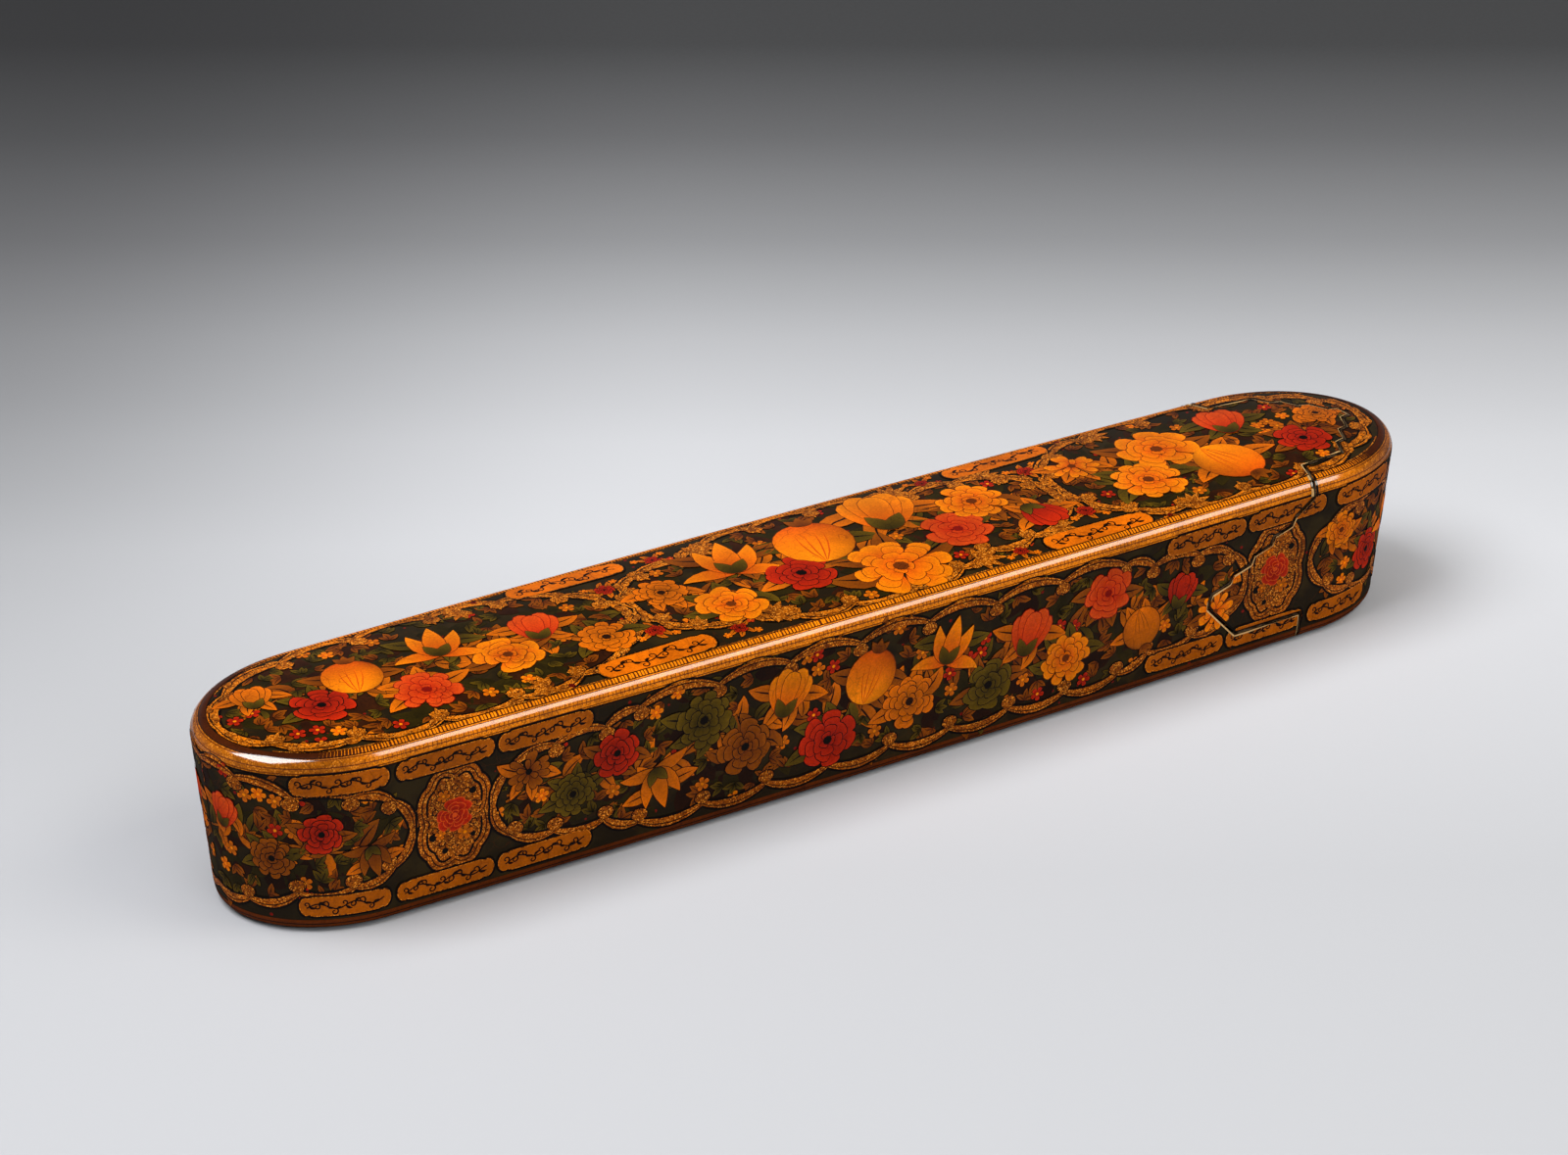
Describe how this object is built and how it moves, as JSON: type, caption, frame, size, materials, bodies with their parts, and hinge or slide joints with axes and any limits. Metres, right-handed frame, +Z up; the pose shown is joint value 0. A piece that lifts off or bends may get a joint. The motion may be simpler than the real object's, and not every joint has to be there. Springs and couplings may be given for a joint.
{
  "type": "qalamdan pen box",
  "caption": "Long round-ended lacquered papier-mache pen box whose drawer slides out of one end, with an inkwell, reed pens and a scribe's tools inside.",
  "frame": {"origin": "middle of the underside, on the surface that the box stands on", "axes": "+X along the length towards the drawer's head, -Y the near long side, +Z up"},
  "size_m": [0.24, 0.043, 0.0343],
  "materials": {
    "painted_lacquer": "papier-mache painted in amber, vermilion and gold on near-black, under glossy amber varnish",
    "drawer_lacquer": "papier-mache in dark red lacquer with gold edging",
    "brass": "worn polished brass",
    "ink_silk": "matted raw silk soaked with black ink",
    "reed": "polished brown reed",
    "bone": "yellowed polished bone",
    "steel": "ground blade steel"
  },
  "bodies": {
    "case": {"outer_case": "painted_lacquer"},
    "drawer": {"drawer_tray": "drawer_lacquer", "drawer_head": "painted_lacquer", "tray_partition": "drawer_lacquer", "inkwell_body": "brass", "inkwell_hinge_pin": "brass", "inkwell_silk_wad": "ink_silk", "reed_pen_1": "reed", "reed_pen_2": "reed", "reed_pen_3": "reed", "knife_blade": "steel", "knife_ferrule": "brass", "knife_handle": "bone", "knife_pommel": "brass", "nib_rest": "bone", "water_spoon": "brass"},
    "inkwell_lid": {"inkwell_lid": "brass"}
  },
  "joints": [
    {"name": "drawer_slide", "type": "slide", "parent": "case", "child": "drawer", "axis": [1, 0, 0], "range_m": [0, 0.23]},
    {"name": "inkwell_lid_hinge", "type": "hinge", "parent": "drawer", "child": "inkwell_lid", "pos_m": [0.06878, 0, 0.0225], "axis": [0, -1, 0], "range_deg": [0, 110]}
  ],
  "couplings": [
    {"joint": "inkwell_lid_hinge", "follows": "drawer_slide", "rad_per_m": 8.34}
  ]
}
